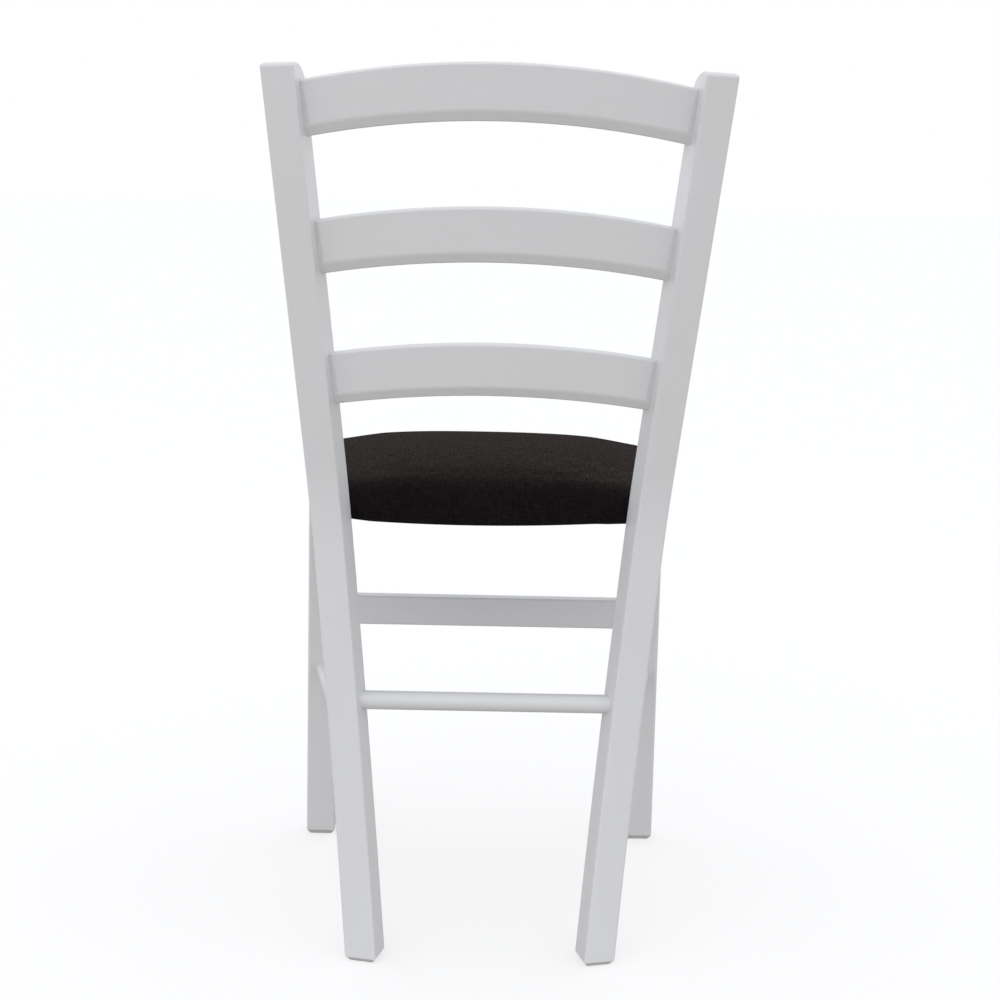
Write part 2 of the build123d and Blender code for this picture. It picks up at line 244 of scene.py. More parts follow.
plywood = {
    "light": (0.72, 0.56, 0.37),
    "dark": (0.55, 0.40, 0.24),
    "glue": (0.36, 0.24, 0.14),
    "figurePerMetre": 40,
    "stretch": 18,
    "layerScale": 160,
    "glueLimit": 0.6,
    "glueShare": 0.3,
    "depth": 0.0002,
    "strength": 0.5,
    "roughness": (0.5, 0.2),             # least, and what the figure adds
}


def makePlywood():
    tree = ShaderTree("birchPlywood")
    spot = tree.place(drawnOut(1, plywood["stretch"]))
    figure = tree.noise(spot, plywood["figurePerMetre"], 5, 0.6)
    sockets = {"Vector": tree.place(), "Scale": plywood["layerScale"]}
    layers = tree.add("ShaderNodeTexWave", {"bands_direction": "Z"}, sockets)
    colour = tree.blend(figure, rgb(plywood["light"]), rgb(plywood["dark"]))
    glueShare = (layers > plywood["glueLimit"]) * plywood["glueShare"]
    least, added = plywood["roughness"]
    return tree.show(tree.principled({
        "Base Color": tree.blend(glueShare, colour, rgb(plywood["glue"])),
        "Roughness": least + figure * added,
        "Normal": tree.bump(figure, plywood["depth"], plywood["strength"]),
    }))


zinc = {
    "warm": (0.66, 0.62, 0.50),
    "cool": (0.48, 0.50, 0.52),
    "spanglePerMetre": 420,
    "smearsPerMetre": 60,
    "roughness": (0.28, 0.25),           # least, and what the smears add
}


def makeZinc():
    tree = ShaderTree("zincPlate")
    spangle = tree.noise(tree.place(), zinc["spanglePerMetre"], 3)
    smears = tree.noise(tree.place(), zinc["smearsPerMetre"], 2)
    least, added = zinc["roughness"]
    return tree.show(tree.principled({
        "Base Color": tree.blend(spangle, rgb(zinc["warm"]), rgb(zinc["cool"])),
        "Metallic": 1.0,
        "Roughness": least + smears * added,
    }))


# Seat cloth: a fine plain weave in near-black brown

cloth = {
    "warp": (0.0112, 0.0096, 0.0096),
    "weft": (0.0052, 0.0045, 0.0047),
    "slub": (0.0225, 0.0196, 0.0194),
    "threadsPerMetre": 820,
    "threadWobble": 1.2,
    "weftDip": 0.65,                     # how much of the warp a weft thread hides
    "threadDepth": 0.00055,
    "bumpShares": (0.45, 0.55),          # of the threads and of the slubs
    "bumpStrength": 0.9,
    "slubPerMetre": 75,                  # thicker stretches of thread
    "slubStretch": 7,
    "slubStart": 0.44,
    "slubGain": 5,
    "slubTint": 0.45,
    "wanderPerMetre": 14,                # slow drift of the shade
    "wanderTint": 0.5,
    "roughness": 0.88,
    "roughSpread": 0.16,
    "sheen": (0.045, 0.150),             # nap of the thin and of the thick stretches
    "sheenTint": (0.67, 0.57, 0.53),
    "sheenRoughness": 0.45,
    "napStart": 0.38,
    "napGain": 0.6,
}


def makeCloth():
    tree = ShaderTree("seatCloth")
    across = tree.add("ShaderNodeUVMap", {"uv_map": "weave"})
    wander = tree.noise(across, cloth["wanderPerMetre"], 2)
    threads = []
    for direction in "XY":
        sockets = {
            "Vector": across,
            "Scale": cloth["threadsPerMetre"] * pi / 10,     # a scale of pi / 10 is one band a metre
            "Distortion": cloth["threadWobble"],
            "Detail": 1.0,
        }
        threads.append(tree.add("ShaderNodeTexWave", {"bands_direction": direction}, sockets))
    warp, weft = threads
    slubs = []
    for stretch in ((1, cloth["slubStretch"], 1), (cloth["slubStretch"], 1, 1)):
        drawn = tree.add("ShaderNodeMapping", {}, {"Vector": across, "Scale": stretch})
        slubs.append(tree.noise(drawn, cloth["slubPerMetre"], 3, 0.6))
    slub = (slubs[0] * 0.5 + slubs[1] * 0.5 - cloth["slubStart"]) * cloth["slubGain"]
    over = warp * (1 - cloth["weftDip"] + weft * cloth["weftDip"])
    colour = tree.blend(over, rgb(cloth["weft"]), rgb(cloth["warp"]))
    slubShare = tree.clamp(slub * cloth["slubTint"] + (wander - 0.5) * cloth["wanderTint"])
    byThread, bySlub = cloth["bumpShares"]
    height = over * byThread + slub * bySlub
    finish = {
        "Base Color": tree.blend(slubShare, colour, rgb(cloth["slub"])),
        "Roughness": cloth["roughness"] + (slubs[0] - 0.5) * cloth["roughSpread"],
        "Normal": tree.bump(height, cloth["threadDepth"], cloth["bumpStrength"]),
        "Sheen Roughness": cloth["sheenRoughness"],
        "Sheen Tint": rgb(cloth["sheenTint"]),
        "Specular IOR Level": 0.0,
    }
    thin, thick = [tree.principled({**finish, "Sheen Weight": sheen}) for sheen in cloth["sheen"]]
    nap = tree.clamp(slub * cloth["napGain"] + cloth["napStart"])
    return tree.show(tree.mixShaders(nap, thin, thick))


felt = {
    "dark": (0.012, 0.012, 0.013),
    "light": (0.036, 0.036, 0.038),
    "fibresPerMetre": 850,
    "matsPerMetre": 45,
    "shadeShares": (0.7, 0.3),           # of the fibres and of the matting
    "dotsPerMetre": 330,                 # pressed dots
    "dotSize": 0.24,
    "dotGloss": 0.25,
    "depth": 0.0003,
    "strength": 0.7,
    "roughness": 0.9,
}


def makeFelt():
    tree = ShaderTree("dustFelt")
    fibres = tree.noise(tree.place(), felt["fibresPerMetre"], 5, 0.7)
    matted = tree.noise(tree.place(), felt["matsPerMetre"], 3)
    sockets = {"Vector": tree.place(), "Scale": felt["dotsPerMetre"]}
    pressed = tree.add("ShaderNodeTexVoronoi", {"feature": "F1"}, sockets) < felt["dotSize"]
    byFibre, byMat = felt["shadeShares"]
    shade = fibres * byFibre + matted * byMat
    height = fibres * 0.5 - pressed * 0.5
    return tree.show(tree.principled({
        "Base Color": tree.blend(shade, rgb(felt["dark"]), rgb(felt["light"])),
        "Roughness": felt["roughness"] - pressed * felt["dotGloss"],
        "Normal": tree.bump(height, felt["depth"], felt["strength"]),
    }))


foamFinish = {
    "dark": (0.80, 0.72, 0.50),
    "light": (0.86, 0.80, 0.62),
    "cellsPerMetre": 620,
    "mottlePerMetre": 30,
    "depth": 0.0006,
    "strength": 0.8,
    "roughness": (0.82, 0.15),           # least, and what the mottle adds
}


def makeFoamFinish():
    tree = ShaderTree("creamFoam")
    sockets = {"Vector": tree.place(), "Scale": foamFinish["cellsPerMetre"]}
    cells = tree.add("ShaderNodeTexVoronoi", {"feature": "DISTANCE_TO_EDGE"}, sockets)
    mottle = tree.noise(tree.place(), foamFinish["mottlePerMetre"], 3)
    least, added = foamFinish["roughness"]
    return tree.show(tree.principled({
        "Base Color": tree.blend(mottle, rgb(foamFinish["dark"]), rgb(foamFinish["light"])),
        "Roughness": least + mottle * added,
        "Normal": tree.bump(cells, foamFinish["depth"], foamFinish["strength"]),
    }))


# Dress the solid nodes: the axis that the grain of each one follows

lacqueredAlong = {
    "rear_post_left": 2, "rear_post_right": 2, "front_leg_left": 2, "front_leg_right": 2,
    "top_slat": 0, "middle_slat": 0, "lower_slat": 0, "front_stretcher": 0, "rear_rung": 0,
    "side_rung_left": 1, "side_rung_right": 1, "post_dowels": 1,
}
rawAlong = {
    "seat_rail_front": 0, "seat_rail_rear": 0, "seat_rail_left": 1, "seat_rail_right": 1,
    "seat_rail_dowels": 1,
}


def coat(mesh, material):
    mesh.materials.clear()
    mesh.materials.append(material)


lacquers = [makeLacquer("whiteLacquer" + axis, along) for along, axis in enumerate("XYZ")]
for node, along in lacqueredAlong.items():
    coat(nodes[node].data, lacquers[along])
beeches = [makeRawWood("rawBeech" + axis, along) for along, axis in enumerate("XY")]
for node, along in rawAlong.items():
    coat(nodes[node].data, beeches[along])
zincPlate = makeZinc()
coat(nodes["seat_board"].data, makePlywood())
coat(nodes["seat_board_screws"].data, zincPlate)
print("nodes dressed")


# Mesh helpers

def linkMesh(name, mesh, material=None):
    piece = bpy.data.objects.new(name, mesh)
    scene.collection.objects.link(piece)
    if material:
        coat(mesh, material)
    return piece


def newPiece(name, bm, material=None):
    mesh = bpy.data.meshes.new(name)
    bm.to_mesh(mesh)
    bm.free()
    return linkMesh(name, mesh, material)


def finalMesh(piece):
    # the piece's mesh with its modifiers applied
    view = bpy.context.evaluated_depsgraph_get()
    return bpy.data.meshes.new_from_object(piece.evaluated_get(view))


def cutFlat(bm, spot, normal, keepAbove=False):
    parts = bm.verts[:] + bm.edges[:] + bm.faces[:]
    cut = bmesh.ops.bisect_plane(bm, geom=parts, plane_co=spot, plane_no=normal, clear_inner=keepAbove)
    return cut["geom_cut"]


def edgesOf(parts):
    return [part for part in parts if isinstance(part, bmesh.types.BMEdge)]


def shadeSmooth(mesh):
    for face in mesh.polygons:
        face.use_smooth = True


def thicken(piece, thickness):
    wall = piece.modifiers.new("wall", "SOLIDIFY")
    wall.thickness = thickness
    wall.offset = -1


def refine(piece):
    fine = piece.modifiers.new("fine", "SUBSURF")
    fine.levels = 1
    fine.render_levels = 1


# Seat outline in plan, the same sizes as the solid seat

seat = {
    "rearHalf": 0.172,           # half the width at the rear corners
    "rearFlatHalf": 0.122,       # half the straight rear edge, from which it follows the posts
    "toe": radians(14),
    "frontBow": 0.005,
    "sideDraw": 0.002,
    "cornerRadius": 0.014,
    "cornerSteps": 6,
    "cornerMost": 0.3,           # largest corner radius, as a share of the depth
    "cornerGap": 1.4,            # where the edges start beside a corner, in radii
    "rearShare": 0.36,           # the rear corners are this much sharper, tight on the posts
    "beside": 0.02,              # share of an edge that gives its direction at a corner
    "edgeSteps": 6,
    "sideOverhang": 0.0035,
    "bottomDraw": 0.0016,        # how far the lower edge tucks in
}
coverLow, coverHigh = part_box("seat_cover")
legLow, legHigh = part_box("front_leg_left")
seat["front"] = coverLow.y
seat["rear"] = coverHigh.y
seat["bottom"] = coverLow.z
seat["frontHalf"] = legHigh.x + seat["sideOverhang"]


def seatCorners(inset):
    # end of the straight rear edge, rear corner and front corner of the left half
    flat = seat["rearFlatHalf"] * (1 - inset / seat["rearHalf"])
    rearX = seat["rearHalf"] - inset
    rearY = seat["rear"] - inset
    corner = Vector((rearX, rearY - (rearX - flat) * tan(seat["toe"])))
    front = Vector((seat["frontHalf"] - inset, seat["front"] + seat["frontBow"] + inset))
    return Vector((flat, rearY)), corner, front


def sidePoint(corner, front, share):
    return corner.lerp(front, share) - Vector((seat["sideDraw"] * 4 * share * (1 - share), 0))


def frontPoint(front, share):
    # from the corner to the middle of the bowed front edge
    return Vector((front.x * (1 - share), front.y - seat["frontBow"] * (1 - (1 - share) ** 2)))


def edgeShares(first, last):
    steps = seat["edgeSteps"]
    return [first + (last - first) * step / steps for step in range(steps + 1)]


def roundCorner(before, corner, after, radius):
    # points of the arc that eases a corner
    inward = (before - corner).normalized()
    outward = (after - corner).normalized()
    half = inward.angle(outward) / 2
    reach = radius / tan(half)
    centre = corner + (inward + outward).normalized() * (radius / sin(half))
    start = corner + inward * reach - centre
    end = corner + outward * reach - centre
    turn = start.angle_signed(end)
    points = []
    for step in range(seat["cornerSteps"] + 1):
        angle = -turn * step / seat["cornerSteps"]
        points.append(centre + Vector((start.x * cos(angle) - start.y * sin(angle),
                                       start.x * sin(angle) + start.y * cos(angle))))
    return points


def seatRing(inset, radius):
    # outline of the seat, drawn in by an inset, from the rear round by the front
    flat, corner, front = seatCorners(inset)
    beside = seat["beside"]
    depth = (corner - front).length
    radius = min(radius, depth * seat["cornerMost"])
    rearRadius = min(radius * seat["rearShare"], (corner - flat).length)
    gap = seat["cornerGap"] * radius / depth
    frontGap = seat["cornerGap"] * radius / front.x
    half = [flat, *roundCorner(flat, corner, sidePoint(corner, front, beside), rearRadius)]
    half += [sidePoint(corner, front, share) for share in edgeShares(gap, 1 - gap)]
    half += roundCorner(sidePoint(corner, front, 1 - beside), front, frontPoint(front, beside), radius)
    half += [frontPoint(front, share) for share in edgeShares(frontGap, 1)]
    return half + [Vector((-point.x, point.y)) for point in half[-2::-1]]


def nearestOn(ring, spot):
    best, least = None, 1.0
    for one, two in zip(ring, ring[1:] + ring[:1]):
        along = two - one
        share = min(max((spot - one).dot(along) / along.length_squared, 0), 1)
        near = one + along * share
        if (near - spot).length < least:
            best, least = near, (near - spot).length
    return best, least


# Stuffed cover

pad = {
    "wall": 0.019,               # upright side, up to where it rounds over
    "rim": 0.020,                # rounding over the top of the side
    "rimAngles": (0, 12, 25, 38, 52, 66, 80, 90),
    "crown": 0.0162,             # rise of the middle, before the stuffing swells it
    "crownStart": 0.025,         # inset of the crown's first ring
    "crownStep": 0.009,
    "crownRings": 15,
    "cornerGrowth": 0.25,        # how much rounder the corners get further in
    "sideDip": 0.010,            # how much lower the rim is at the two sides
    "dipPower": 4.0,
    "crossPowers": (2.0, 3.6),   # fall of the crown towards the sides
    "lengthPower": 2.5,          # and towards front and rear
    "held": 0.021,               # the cloth lies tight on the frame up to here
    "foot": 0.012,               # height over which the lower edge tucks in
    "ringPieces": 5,
    "voxel": 0.0048,
    "pressure": 4.0,
    "stiffness": 12,
    "bending": 2,
    "quality": 6,
    "frames": 20,
    "moveLimit": 0.0035,
    "evenRounds": 16,            # rounds that even out the swelling
    "easeRounds": 4,
    "easeShare": 0.5,
    "cut": 0.0036,               # the remeshed foot is cut off here and made anew
    "merge": 0.0012,
    "turns": ((0.0018, 0.0011), (0.0, 0.0021), (0.0, 0.0085), (0.0, 0.0226)),   # rise and inset
    "sag": 0.0047,               # the lower rear edge hangs a little between the posts
    "sagMiddle": 0.022,
    "sagHalf": 0.128,
    "sagReach": 0.011,           # how far under the seat the cloth hangs free
    "sagGain": 1.5,
    "sagHeight": 0.024,
    "underside": -0.5,           # faces that look down more than this lie under the seat
    "thickness": 0.0012,
    "clearance": 0.0004,
}


def padLevel(x, y, inset):
    # height of the stuffed top over a point this far inside the rim
    along = (seat["rear"] - y) / (seat["rear"] - seat["front"])
    half = seat["rearHalf"] + (seat["frontHalf"] - seat["rearHalf"]) * along
    side = min(abs(x) / half, 1)
    acrossFall = sum(side ** power for power in pad["crossPowers"]) / 2
    lengthFall = min(abs(1 - 2 * along), 1) ** pad["lengthPower"]
    short = max(pad["rim"] - inset, 0) / pad["rim"]
    rimRise = (pad["rim"] - pad["sideDip"] * side ** pad["dipPower"]) * sqrt(1 - short ** 2)
    crown = pad["crown"] * (1 - acrossFall) * (1 - lengthFall)
    return seat["bottom"] + pad["wall"] + rimRise + crown


def padOutline(inset, radius):
    # a finer outline, so that a height that varies over its points stays smooth
    ring = seatRing(inset, radius)
    pieces = pad["ringPieces"]
    points = []
    for one, two in zip(ring, ring[1:] + ring[:1]):
        points += [one.lerp(two, step / pieces) for step in range(pieces)]
    return points


def padRings():
    rings = []
    for inset, rise in ((seat["bottomDraw"], 0), (0, pad["foot"])):
        outline = padOutline(inset, seat["cornerRadius"])
        rings.append([(point.x, point.y, seat["bottom"] + rise) for point in outline])
    insets = [pad["rim"] * (1 - cos(radians(angle))) for angle in pad["rimAngles"]]
    insets += [pad["crownStart"] + pad["crownStep"] * step for step in range(pad["crownRings"])]
    for inset in insets:
        outline = padOutline(inset, seat["cornerRadius"] + inset * pad["cornerGrowth"])
        rings.append([(point.x, point.y, padLevel(point.x, point.y, inset)) for point in outline])
    return rings


def loftRings(rings):
    bm = bmesh.new()
    loops = [[bm.verts.new(point) for point in ring] for ring in rings]
    for lower, upper in zip(loops, loops[1:]):
        for one in range(len(lower)):
            two = (one + 1) % len(lower)
            bm.faces.new((lower[one], lower[two], upper[two], upper[one]))
    bm.faces.new(loops[0][::-1])
    bm.faces.new(loops[-1])
    bmesh.ops.recalc_face_normals(bm, faces=bm.faces)
    return bm


def remesh(piece):
    voxels = piece.modifiers.new("voxels", "REMESH")
    voxels.mode = "VOXEL"
    voxels.voxel_size = pad["voxel"]
    even = finalMesh(piece)
    piece.modifiers.clear()
    piece.data = even


def evenMoves(mesh, moves):
    # spread each point's move over its neighbours, so that no creases stay
    beside = [[] for vertex in mesh.vertices]
    for edge in mesh.edges:
        one, two = edge.vertices
        beside[one].append(two)
        beside[two].append(one)
    for step in range(pad["evenRounds"]):
        shared = [sum((moves[other] for other in near), Vector()) / len(near) for near in beside]
        moves = [(own + mean) / 2 for own, mean in zip(moves, shared)]
    return moves


def swell(piece):
    rest = piece.data.copy()
    top = seat["bottom"] + pad["held"]
    fast = [vertex.index for vertex in rest.vertices if vertex.co.z < top]
    piece.vertex_groups.new(name="held").add(fast, 1, "REPLACE")
    sim = piece.modifiers.new("cloth", "CLOTH")
    sim.settings.vertex_group_mass = "held"
    sim.settings.use_pressure = True
    sim.settings.uniform_pressure_force = pad["pressure"]
    sim.settings.quality = pad["quality"]
    sim.settings.tension_stiffness = pad["stiffness"]
    sim.settings.compression_stiffness = pad["stiffness"]
    sim.settings.bending_stiffness = pad["bending"]
    sim.settings.effector_weights.gravity = 0
    sim.collision_settings.use_collision = False
    for step in range(1, pad["frames"] + 1):
        scene.frame_set(step)
    grown = finalMesh(piece)
    piece.modifiers.clear()
    piece.vertex_groups.clear()
    moves = []
    for vertex, start in zip(grown.vertices, rest.vertices):
        move = vertex.co - start.co
        move -= start.normal * min(move.dot(start.normal), 0)      # the stuffing gives no way inwards
        moves.append(move * min(1, pad["moveLimit"] / max(move.length, 0.000001)))
    for vertex, start, move in zip(grown.vertices, rest.vertices, evenMoves(rest, moves)):
        free = min(max((start.co.z - top) / pad["foot"], 0), 1)
        vertex.co = start.co + move * free
    piece.data = grown
    scene.frame_set(1)


def easeTop(mesh):
    # ease the top and the sides, but not the foot, which covers the frame
    bm = bmesh.new()
    bm.from_mesh(mesh)
    loose = [vertex for vertex in bm.verts if vertex.co.z > seat["bottom"] + pad["foot"]]
    axes = {"use_axis_x": True, "use_axis_y": True, "use_axis_z": True}
    for step in range(pad["easeRounds"]):
        bmesh.ops.smooth_vert(bm, verts=loose, factor=pad["easeShare"], **axes)
    bm.to_mesh(mesh)
    bm.free()


def squareFoot(mesh):
    # bring the foot of the side back to its outline, where the remesh rounded it off
    outline = seatRing(0, seat["cornerRadius"])
    for vertex in mesh.vertices:
        rise = vertex.co.z - seat["bottom"]
        if rise < pad["wall"]:
            spot, distance = nearestOn(outline, vertex.co.xy)
            if distance < pad["voxel"]:
                tuck = seat["bottomDraw"] * max(1 - rise / pad["foot"], 0) ** 2
                vertex.co.xy = spot - vertex.normal.xy.normalized() * tuck


def keepClear(mesh):
    # hold the cover off the posts and level with the underside
    flat = Vector((seat["rearFlatHalf"], seat["rear"]))
    away = Vector((sin(seat["toe"]), cos(seat["toe"])))
    for vertex in mesh.vertices:
        vertex.co.z = max(vertex.co.z, seat["bottom"])
        spot = Vector((abs(vertex.co.x), vertex.co.y))
        beyond = (spot - flat).dot(away)
        if beyond > 0 and spot.x > flat.x:
            spot -= away * beyond
            vertex.co.x = spot.x if vertex.co.x > 0 else -spot.x
            vertex.co.y = spot.y


def makeCover():
    cover = newPiece("seatCover", loftRings(padRings()))
    remesh(cover)
    swell(cover)
    easeTop(cover.data)
    squareFoot(cover.data)
    keepClear(cover.data)
    return cover


def makeFoam(coverMesh):
    # the pad inside: the cover's own shape, a little smaller, cut flat on the board
    bm = bmesh.new()
    bm.from_mesh(coverMesh)
    for vertex in bm.verts:
        vertex.co -= vertex.normal * (pad["thickness"] + 2 * pad["clearance"])
    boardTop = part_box("seat_board")[1].z + pad["clearance"]
    cut = cutFlat(bm, (0, 0, boardTop), (0, 0, 1), keepAbove=True)
    bmesh.ops.edgeloop_fill(bm, edges=edgesOf(cut))
    bmesh.ops.recalc_face_normals(bm, faces=bm.faces)
    return newPiece("seatFoam", bm, makeFoamFinish())


def turnUnder(mesh):
    # cut the remeshed foot off and turn the cloth under the frame, for a clean lower edge
    bm = bmesh.new()
    bm.from_mesh(mesh)
    cutFlat(bm, (0, 0, seat["bottom"] + pad["cut"]), (0, 0, 1), keepAbove=True)
    edge = [vertex for vertex in bm.verts if vertex.is_boundary]
    bmesh.ops.remove_doubles(bm, verts=edge, dist=pad["merge"])
    rim = [part for part in bm.edges if part.is_boundary]
    for rise, inset in pad["turns"]:
        ring = seatRing(inset, seat["cornerRadius"])
        grown = bmesh.ops.extrude_edge_only(bm, edges=rim)["geom"]
        rim = edgesOf(grown)
        for part in grown:
            if isinstance(part, bmesh.types.BMVert):
                part.co = (*nearestOn(ring, part.co.xy)[0], seat["bottom"] + rise)
    bmesh.ops.recalc_face_normals(bm, faces=bm.faces)
    bm.to_mesh(mesh)
    bm.free()


def hangRear(mesh):
    # let the lower rear edge sag between the posts
    for vertex in mesh.vertices:
        low = 1 - (vertex.co.z - seat["bottom"]) / pad["sagHeight"]
        near = 1 - (seat["rear"] - vertex.co.y) / pad["sagReach"]
        middle = 1 - ((vertex.co.x - pad["sagMiddle"]) / pad["sagHalf"]) ** 2
        if min(low, near, middle) > 0:
            vertex.co.z -= pad["sag"] * low * min(near * pad["sagGain"], 1) * middle


def weaveMap(mesh):
    # the cloth laid flat: as seen from above on the top, and unrolled down the sides
    rimLevel = seat["bottom"] + pad["wall"] + pad["rim"]
    layer = mesh.uv_layers.new(name="weave")
    unrolled = []
    for vertex in mesh.vertices:
        outward = vertex.normal.xy.normalized()
        unrolled.append(vertex.co.xy + outward * max(rimLevel - vertex.co.z, 0))
    for face in mesh.polygons:
        below = face.normal.z <= pad["underside"]
        for corner in face.loop_indices:
            index = mesh.loops[corner].vertex_index
            layer.data[corner].uv = mesh.vertices[index].co.xy if below else unrolled[index]


coverPiece = makeCover()
foamPiece = makeFoam(coverPiece.data)
turnUnder(coverPiece.data)
hangRear(coverPiece.data)
weaveMap(coverPiece.data)
coat(coverPiece.data, makeCloth())
thicken(coverPiece, pad["thickness"])
refine(coverPiece)
for soft, node, fill in ((coverPiece, "seat_cover", 0.8), (foamPiece, "seat_foam", 0.9)):
    shadeSmooth(soft.data)
    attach(soft, "root")
    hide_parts(node)
print("seat stuffed:", len(coverPiece.data.polygons), "faces")


# Dust cover under the seat

dust = {
    "inset": 0.012,
    "cornerRadius": 0.014,
    "legGap": 0.0006,            # the sheet is notched round the front legs
    "cells": 0.009,
    "merge": 0.0002,
    "sag": 0.0006,
    "ripplePerMetre": 26,
    "rippleShare": 0.5,
    "thickness": 0.0006,
}


def underLeg(spot):
    return abs(spot.x) > legLow.x - dust["legGap"] and spot.y < legHigh.y + dust["legGap"]


def makeDustCover():
    low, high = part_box("dust_cover")
    gap = dust["legGap"]
    sideways, lengthways = (1, 0, 0), (0, 1, 0)
    bm = bmesh.new()
    outline = seatRing(dust["inset"], dust["cornerRadius"])
    bm.faces.new([bm.verts.new((point.x, point.y, high.z - dust["thickness"])) for point in outline])
    bmesh.ops.triangulate(bm, faces=bm.faces)
    for x in (legLow.x - gap, gap - legLow.x):
        cutFlat(bm, (x, 0, 0), sideways)
    cutFlat(bm, (0, legHigh.y + gap, 0), lengthways)
    corners = [face for face in bm.faces if underLeg(face.calc_center_median())]
    bmesh.ops.delete(bm, geom=corners, context="FACES")
    for axis, normal in enumerate((sideways, lengthways)):
        for step in range(1, int((high[axis] - low[axis]) / dust["cells"])):
            place = low[axis] + dust["cells"] * step
            cutFlat(bm, Vector(normal) * place, normal)
    bmesh.ops.remove_doubles(bm, verts=bm.verts, dist=dust["merge"])
    bmesh.ops.recalc_face_normals(bm, faces=bm.faces)
    if sum(face.normal.z * face.calc_area() for face in bm.faces) > 0:
        bmesh.ops.reverse_faces(bm, faces=bm.faces)
    area = sum(face.calc_area() for face in bm.faces)
    for vertex in bm.verts:
        shareX = 1 - (vertex.co.x / high.x) ** 2
        shareY = 1 - ((2 * vertex.co.y - low.y - high.y) / (high.y - low.y)) ** 2
        ripple = 1 + dust["rippleShare"] * noise.noise(vertex.co * dust["ripplePerMetre"])
        vertex.co.z -= max(shareX * shareY, 0) * dust["sag"] * ripple
    sheet = newPiece("dustCover", bm, makeFelt())
    shadeSmooth(sheet.data)
    thicken(sheet, dust["thickness"])
    return sheet, area, high - low


dustPiece, dustArea, dustSize = makeDustCover()
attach(dustPiece, "root")
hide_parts("dust_cover")
print("dust cover:", round(dustArea, 4), "square metres")


# Staples along the dust cover's edge

staples = {
    "spacing": 0.032,
    "inset": 0.018,
    "cornerRadius": 0.016,
    "crown": 0.0098,
    "wire": 0.00065,
    "sides": 6,
    "stand": 0.0004,             # how deep the wire is pressed into the sheet
}


def stapleTree(material):
    tree = bpy.data.node_groups.new("stapleRow", "GeometryNodeTree")
    tree.interface.new_socket("Geometry", in_out="INPUT", socket_type="NodeSocketGeometry")
    for name in ("Spacing", "Crown", "Wire"):
        tree.interface.new_socket(name, in_out="INPUT", socket_type="NodeSocketFloat")
    tree.interface.new_socket("Geometry", in_out="OUTPUT", socket_type="NodeSocketGeometry")
    add = tree.nodes.new
    link = tree.links.new
    entry = add("NodeGroupInput")
    points = add("GeometryNodeCurveToPoints")
    points.mode = "LENGTH"
    wire = add("GeometryNodeCurvePrimitiveLine")
    wire.mode = "DIRECTION"
    wire.inputs["Direction"].default_value = (0, 0, 1)
    profile = add("GeometryNodeCurvePrimitiveCircle")
    profile.inputs["Resolution"].default_value = staples["sides"]
    tube = add("GeometryNodeCurveToMesh")
    tube.inputs["Fill Caps"].default_value = True
    centre = add("GeometryNodeTransform")
    half = add("ShaderNodeMath")
    half.operation = "MULTIPLY"
    half.inputs[1].default_value = -0.5          # back by half its length, so the wire is centred
    offset = add("ShaderNodeCombineXYZ")
    spread = add("GeometryNodeInstanceOnPoints")
    real = add("GeometryNodeRealizeInstances")
    paint = add("GeometryNodeSetMaterial")
    paint.inputs["Material"].default_value = material
    leave = add("NodeGroupOutput")
    link(entry.outputs["Geometry"], points.inputs["Curve"])
    link(entry.outputs["Spacing"], points.inputs["Length"])
    link(entry.outputs["Crown"], wire.inputs["Length"])
    link(entry.outputs["Wire"], profile.inputs["Radius"])
    link(wire.outputs["Curve"], tube.inputs["Curve"])
    link(profile.outputs["Curve"], tube.inputs["Profile Curve"])
    link(entry.outputs["Crown"], half.inputs[0])
    link(half.outputs[0], offset.inputs["Z"])
    link(tube.outputs["Mesh"], centre.inputs["Geometry"])
    link(offset.outputs["Vector"], centre.inputs["Translation"])
    link(points.outputs["Points"], spread.inputs["Points"])
    link(points.outputs["Rotation"], spread.inputs["Rotation"])
    link(centre.outputs["Geometry"], spread.inputs["Instance"])
    link(spread.outputs["Instances"], real.inputs["Geometry"])
    link(real.outputs["Geometry"], paint.inputs["Geometry"])
    link(paint.outputs["Geometry"], leave.inputs["Geometry"])
    return tree


def closedPath(name, points):
    curve = bpy.data.curves.new(name, "CURVE")
    curve.dimensions = "3D"
    line = curve.splines.new("POLY")
    line.points.add(len(points) - 1)
    for target, point in zip(line.points, points):
        target.co = (*point, 1)
    line.use_cyclic_u = True
    path = bpy.data.objects.new(name, curve)
    scene.collection.objects.link(path)
    return path


def growAlong(path, tree, sizes, name):
    # run a node tree on a path and keep its result as a plain mesh
    grower = path.modifiers.new("grow", "NODES")
    grower.node_group = tree
    for item in tree.interface.items_tree:
        if item.in_out == "INPUT" and item.name in sizes:
            grower[item.identifier] = sizes[item.name]
    bpy.context.view_layer.update()
    mesh = finalMesh(path)
    path.modifiers.clear()
    bpy.data.objects.remove(path)
    return linkMesh(name, mesh)


def makeStaples():
    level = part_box("dust_cover")[0].z - staples["wire"] + staples["stand"]
    ring = seatRing(staples["inset"], staples["cornerRadius"])
    points = [(point.x, point.y, level) for point in ring if not underLeg(point)]
    path = closedPath("staplePath", points)
    sizes = {"Spacing": staples["spacing"], "Crown": staples["crown"], "Wire": staples["wire"]}
    return growAlong(path, stapleTree(zincPlate), sizes, "dustStaples")


staplePiece = makeStaples()
shadeSmooth(staplePiece.data)
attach(staplePiece, "root")
print("staples:", len(staplePiece.data.polygons), "faces")


# Floor, light and camera

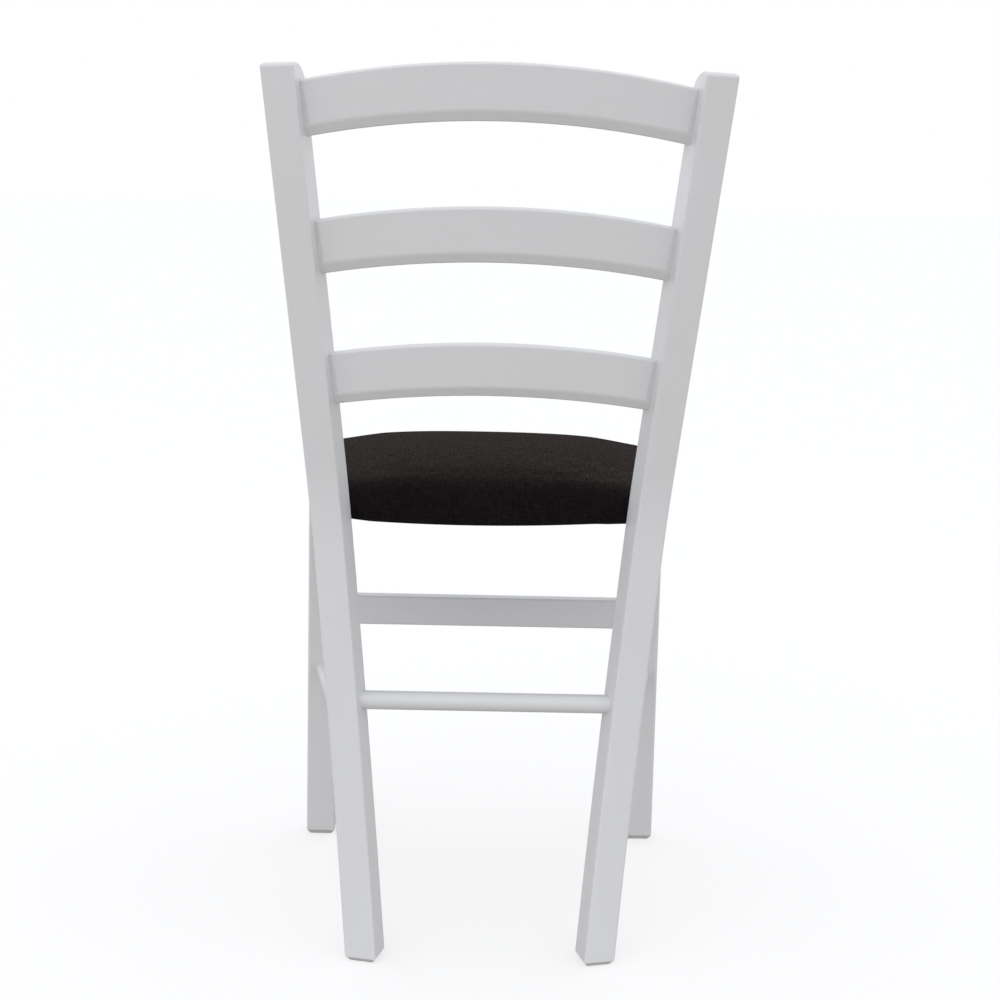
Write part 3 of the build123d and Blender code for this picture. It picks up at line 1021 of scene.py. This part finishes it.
studio = {
    "horizon": 1.31,                      # light from the sides
    "zenith": 0.78,                       # and from straight above
    "skyTint": (0.98, 0.995, 1.025),
    "floorRadius": 40,
    "floorBounce": (0.495, 0.47, 0.435),  # what the chair gets back from the floor
    "floorGlow": 0.55,                    # share of the floor that is lit evenly, as on a light table
    "white": (1, 1, 1),
    "keyPlace": (0.95, 2.50, 2.00),       # behind the lens, to its left
    "keyAim": (0.0, 0.10, 0.60),
    "keySize": 2.2,
    "keyPower": 7.5,
}


def makeFloor():
    bm = bmesh.new()
    bmesh.ops.create_circle(bm, cap_ends=True, segments=96, radius=studio["floorRadius"])
    share = studio["floorGlow"]
    white = rgb(studio["white"])
    skyLight = (studio["horizon"] + 2 * studio["zenith"]) / 3
    evenLight = (1 - skyLight * (1 - share)) / share
    tree = ShaderTree("paleFloor")
    lensRay = tree.add("ShaderNodeLightPath", output="Is Camera Ray")
    lit = tree.add("ShaderNodeBsdfDiffuse", {}, {"Color": white})
    glow = tree.add("ShaderNodeEmission", {}, {"Color": white, "Strength": evenLight})
    bounced = tree.add("ShaderNodeBsdfDiffuse", {}, {"Color": rgb(studio["floorBounce"])})
    seen = tree.mixShaders(share, lit, glow)
    newPiece("floor", bm, tree.show(tree.mixShaders(lensRay, bounced, seen)))


def skyLevel(tree):
    # brighter at the horizon than overhead
    spot = tree.nodes.new("ShaderNodeTexCoord")
    parts = tree.nodes.new("ShaderNodeSeparateXYZ")
    level = tree.nodes.new("ShaderNodeMapRange")
    level.inputs["To Min"].default_value = studio["horizon"]
    level.inputs["To Max"].default_value = studio["zenith"]
    tree.links.new(spot.outputs["Generated"], parts.inputs[0])
    tree.links.new(parts.outputs["Z"], level.inputs["Value"])
    return level.outputs[0]


def makeSky():
    # a graded sky lights the chair, and the lens sees plain white
    scene.world = bpy.data.worlds.new("studioLight")
    scene.world.use_nodes = True
    tree = scene.world.node_tree
    tree.nodes.clear()
    lensRay = tree.nodes.new("ShaderNodeLightPath")
    sky = tree.nodes.new("ShaderNodeBackground")
    sky.inputs["Color"].default_value = rgb(studio["skyTint"])
    backdrop = tree.nodes.new("ShaderNodeBackground")
    backdrop.inputs["Color"].default_value = rgb(studio["white"])
    mixed = tree.nodes.new("ShaderNodeMixShader")
    output = tree.nodes.new("ShaderNodeOutputWorld")
    tree.links.new(skyLevel(tree), sky.inputs["Strength"])
    tree.links.new(lensRay.outputs["Is Camera Ray"], mixed.inputs[0])
    tree.links.new(sky.outputs[0], mixed.inputs[1])
    tree.links.new(backdrop.outputs[0], mixed.inputs[2])
    tree.links.new(mixed.outputs[0], output.inputs["Surface"])


def makeKey():
    lamp = bpy.data.lights.new("softKey", "AREA")
    lamp.energy = studio["keyPower"]
    lamp.size = studio["keySize"]
    key = bpy.data.objects.new("softKey", lamp)
    key.location = studio["keyPlace"]
    key.rotation_mode = "QUATERNION"
    key.rotation_quaternion = (Vector(studio["keyAim"]) - key.location).to_track_quat("-Z", "Y")
    scene.collection.objects.link(key)


lens = {
    "place": (0.0203, 2.0610, 0.7887),
    "pitch": radians(-9.58),
    "yaw": radians(0.91),
    "roll": radians(1.32),
    "focal": 71.34,
    "sensor": 36.0,
}


def makeCamera():
    data = bpy.data.cameras.new("photoCamera")
    data.lens = lens["focal"]
    data.sensor_width = lens["sensor"]
    camera = bpy.data.objects.new("photoCamera", data)
    pitch, yaw = lens["pitch"], lens["yaw"]
    ahead = Vector((-sin(yaw) * cos(pitch), -cos(yaw) * cos(pitch), sin(pitch)))
    camera.location = lens["place"]
    camera.rotation_mode = "QUATERNION"
    camera.rotation_quaternion = ahead.to_track_quat("-Z", "Y") @ Quaternion((0, 0, 1), lens["roll"])
    scene.collection.objects.link(camera)
    scene.camera = camera


makeFloor()
makeSky()
makeKey()
makeCamera()
scene.view_settings.view_transform = "Standard"
print("floor, light and camera set")
